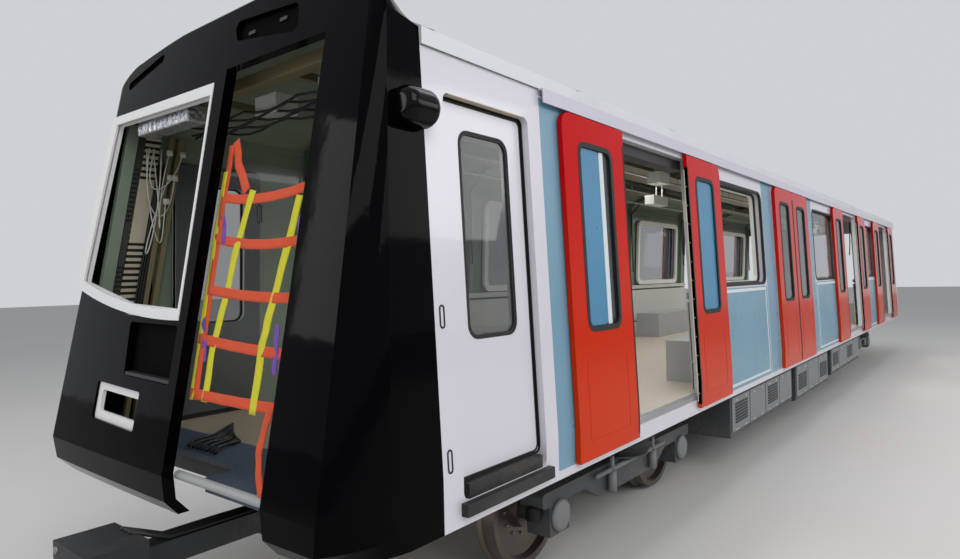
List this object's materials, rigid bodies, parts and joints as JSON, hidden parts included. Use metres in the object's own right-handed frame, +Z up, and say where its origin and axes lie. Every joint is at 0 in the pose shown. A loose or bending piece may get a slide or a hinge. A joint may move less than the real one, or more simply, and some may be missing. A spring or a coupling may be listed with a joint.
{
  "type": "metro driving car",
  "caption": "Metro driving car being fitted out: white body, black cab front with open doorway, red sliding door leaves, open saloon, two bogies.",
  "frame": {"origin": "middle of the car's length and width, at the tips of the wheel flanges", "axes": "+X towards the cab end, +Y to the car's left side, +Z up"},
  "size_m": [18.1, 2.9226, 3.6],
  "materials": {
    "white": "gloss white",
    "black": "gloss black",
    "red": "gloss red",
    "grey": "satin grey",
    "primer": "pale green primer",
    "dark": "satin black",
    "steel": "satin dark grey",
    "bright": "bare",
    "floor": "matt grey",
    "rubber": "ribbed",
    "glass": "tinted",
    "wheel": "machined tread",
    "strap": "woven strap"
  },
  "bodies": {
    "carbody": {"underframe": "steel", "floor": "floor", "side_wall_left": "white", "side_wall_right": "white", "roof": "white", "roof_units": "grey", "cab_mask": "black", "screen_flanges": "white", "side_pods": "black", "rear_end": "grey", "gangway_bellows": "rubber", "body_frames": "primer", "window_frames": "dark", "side_glass": "glass", "door_rails": "white", "door_headers": "dark", "thresholds": "bright", "cab_steps_and_tie_bar": "dark", "seat_risers": "grey", "ceiling_services": "bright", "underfloor_cases": "steel", "rear_drawbar": "steel", "doorway_net": "strap"},
    "leaf_left_1_fore": {"leaf_left_1_fore": "red"},
    "leaf_left_1_aft": {"leaf_left_1_aft": "red"},
    "leaf_left_2_fore": {"leaf_left_2_fore": "red"},
    "leaf_left_2_aft": {"leaf_left_2_aft": "red"},
    "leaf_left_3_fore": {"leaf_left_3_fore": "red"},
    "leaf_left_3_aft": {"leaf_left_3_aft": "red"},
    "leaf_left_4_fore": {"leaf_left_4_fore": "red"},
    "leaf_left_4_aft": {"leaf_left_4_aft": "red"},
    "cab_door_left": {"cab_door_left": "white"},
    "leaf_right_1_fore": {"leaf_right_1_fore": "red"},
    "leaf_right_1_aft": {"leaf_right_1_aft": "red"},
    "leaf_right_2_fore": {"leaf_right_2_fore": "red"},
    "leaf_right_2_aft": {"leaf_right_2_aft": "red"},
    "leaf_right_3_fore": {"leaf_right_3_fore": "red"},
    "leaf_right_3_aft": {"leaf_right_3_aft": "red"},
    "leaf_right_4_fore": {"leaf_right_4_fore": "red"},
    "leaf_right_4_aft": {"leaf_right_4_aft": "red"},
    "cab_door_right": {"cab_door_right": "white"},
    "bogie_frame_front": {"bogie_frame_front": "steel"},
    "wheelset_front_fore": {"wheelset_front_fore": "wheel"},
    "wheelset_front_aft": {"wheelset_front_aft": "wheel"},
    "bogie_frame_rear": {"bogie_frame_rear": "steel"},
    "wheelset_rear_fore": {"wheelset_rear_fore": "wheel"},
    "wheelset_rear_aft": {"wheelset_rear_aft": "wheel"},
    "front_coupler": {"front_coupler": "steel"}
  },
  "joints": [
    {"name": "leaf_left_1_fore_slide", "type": "slide", "parent": "carbody", "child": "leaf_left_1_fore", "axis": [1, 0, 0], "range_m": [-0.584, 0.133]},
    {"name": "leaf_left_1_aft_slide", "type": "slide", "parent": "carbody", "child": "leaf_left_1_aft", "axis": [-1, 0, 0], "range_m": [-0.584, 0.133]},
    {"name": "leaf_left_2_fore_slide", "type": "slide", "parent": "carbody", "child": "leaf_left_2_fore", "axis": [1, 0, 0], "range_m": [0, 0.717]},
    {"name": "leaf_left_2_aft_slide", "type": "slide", "parent": "carbody", "child": "leaf_left_2_aft", "axis": [-1, 0, 0], "range_m": [0, 0.717]},
    {"name": "leaf_left_3_fore_slide", "type": "slide", "parent": "carbody", "child": "leaf_left_3_fore", "axis": [1, 0, 0], "range_m": [-0.717, 0]},
    {"name": "leaf_left_3_aft_slide", "type": "slide", "parent": "carbody", "child": "leaf_left_3_aft", "axis": [-1, 0, 0], "range_m": [-0.717, 0]},
    {"name": "leaf_left_4_fore_slide", "type": "slide", "parent": "carbody", "child": "leaf_left_4_fore", "axis": [1, 0, 0], "range_m": [-0.717, 0]},
    {"name": "leaf_left_4_aft_slide", "type": "slide", "parent": "carbody", "child": "leaf_left_4_aft", "axis": [-1, 0, 0], "range_m": [-0.717, 0]},
    {"name": "cab_door_left_hinge", "type": "hinge", "parent": "carbody", "child": "cab_door_left", "pos_m": [7.19, 1.315, 1.1], "axis": [0, 0.046, -0.9989], "range_deg": [0, 80]},
    {"name": "leaf_right_1_fore_slide", "type": "slide", "parent": "carbody", "child": "leaf_right_1_fore", "axis": [1, 0, 0], "range_m": [-0.584, 0.133]},
    {"name": "leaf_right_1_aft_slide", "type": "slide", "parent": "carbody", "child": "leaf_right_1_aft", "axis": [-1, 0, 0], "range_m": [-0.584, 0.133]},
    {"name": "leaf_right_2_fore_slide", "type": "slide", "parent": "carbody", "child": "leaf_right_2_fore", "axis": [1, 0, 0], "range_m": [0, 0.717]},
    {"name": "leaf_right_2_aft_slide", "type": "slide", "parent": "carbody", "child": "leaf_right_2_aft", "axis": [-1, 0, 0], "range_m": [0, 0.717]},
    {"name": "leaf_right_3_fore_slide", "type": "slide", "parent": "carbody", "child": "leaf_right_3_fore", "axis": [1, 0, 0], "range_m": [-0.717, 0]},
    {"name": "leaf_right_3_aft_slide", "type": "slide", "parent": "carbody", "child": "leaf_right_3_aft", "axis": [-1, 0, 0], "range_m": [-0.717, 0]},
    {"name": "leaf_right_4_fore_slide", "type": "slide", "parent": "carbody", "child": "leaf_right_4_fore", "axis": [1, 0, 0], "range_m": [-0.717, 0]},
    {"name": "leaf_right_4_aft_slide", "type": "slide", "parent": "carbody", "child": "leaf_right_4_aft", "axis": [-1, 0, 0], "range_m": [-0.717, 0]},
    {"name": "cab_door_right_hinge", "type": "hinge", "parent": "carbody", "child": "cab_door_right", "pos_m": [7.19, -1.315, 1.1], "axis": [0, 0.046, 0.9989], "range_deg": [0, 80]},
    {"name": "bogie_front_swivel", "type": "hinge", "parent": "carbody", "child": "bogie_frame_front", "pos_m": [5.45, 0, 0.6], "axis": [0, 0, 1], "range_deg": [-4, 4]},
    {"name": "wheelset_front_fore_roll", "type": "hinge", "parent": "bogie_frame_front", "child": "wheelset_front_fore", "pos_m": [6.5, 0, 0.42], "axis": [0, 1, 0], "continuous": true},
    {"name": "wheelset_front_aft_roll", "type": "hinge", "parent": "bogie_frame_front", "child": "wheelset_front_aft", "pos_m": [4.4, 0, 0.42], "axis": [0, 1, 0], "continuous": true},
    {"name": "bogie_rear_swivel", "type": "hinge", "parent": "carbody", "child": "bogie_frame_rear", "pos_m": [-5.45, 0, 0.6], "axis": [0, 0, 1], "range_deg": [-4, 4]},
    {"name": "wheelset_rear_fore_roll", "type": "hinge", "parent": "bogie_frame_rear", "child": "wheelset_rear_fore", "pos_m": [-4.4, 0, 0.42], "axis": [0, 1, 0], "continuous": true},
    {"name": "wheelset_rear_aft_roll", "type": "hinge", "parent": "bogie_frame_rear", "child": "wheelset_rear_aft", "pos_m": [-6.5, 0, 0.42], "axis": [0, 1, 0], "continuous": true},
    {"name": "coupler_swing", "type": "hinge", "parent": "carbody", "child": "front_coupler", "pos_m": [7.85, 0, 0.64], "axis": [0, 0, 1], "range_deg": [-15, 15]}
  ],
  "couplings": [
    {"joint": "leaf_left_1_aft_slide", "follows": "leaf_left_1_fore_slide", "ratio": 1},
    {"joint": "leaf_left_2_aft_slide", "follows": "leaf_left_2_fore_slide", "ratio": 1},
    {"joint": "leaf_left_3_aft_slide", "follows": "leaf_left_3_fore_slide", "ratio": 1},
    {"joint": "leaf_left_4_aft_slide", "follows": "leaf_left_4_fore_slide", "ratio": 1},
    {"joint": "leaf_right_1_aft_slide", "follows": "leaf_right_1_fore_slide", "ratio": 1},
    {"joint": "leaf_right_2_aft_slide", "follows": "leaf_right_2_fore_slide", "ratio": 1},
    {"joint": "leaf_right_3_aft_slide", "follows": "leaf_right_3_fore_slide", "ratio": 1},
    {"joint": "leaf_right_4_aft_slide", "follows": "leaf_right_4_fore_slide", "ratio": 1}
  ]
}
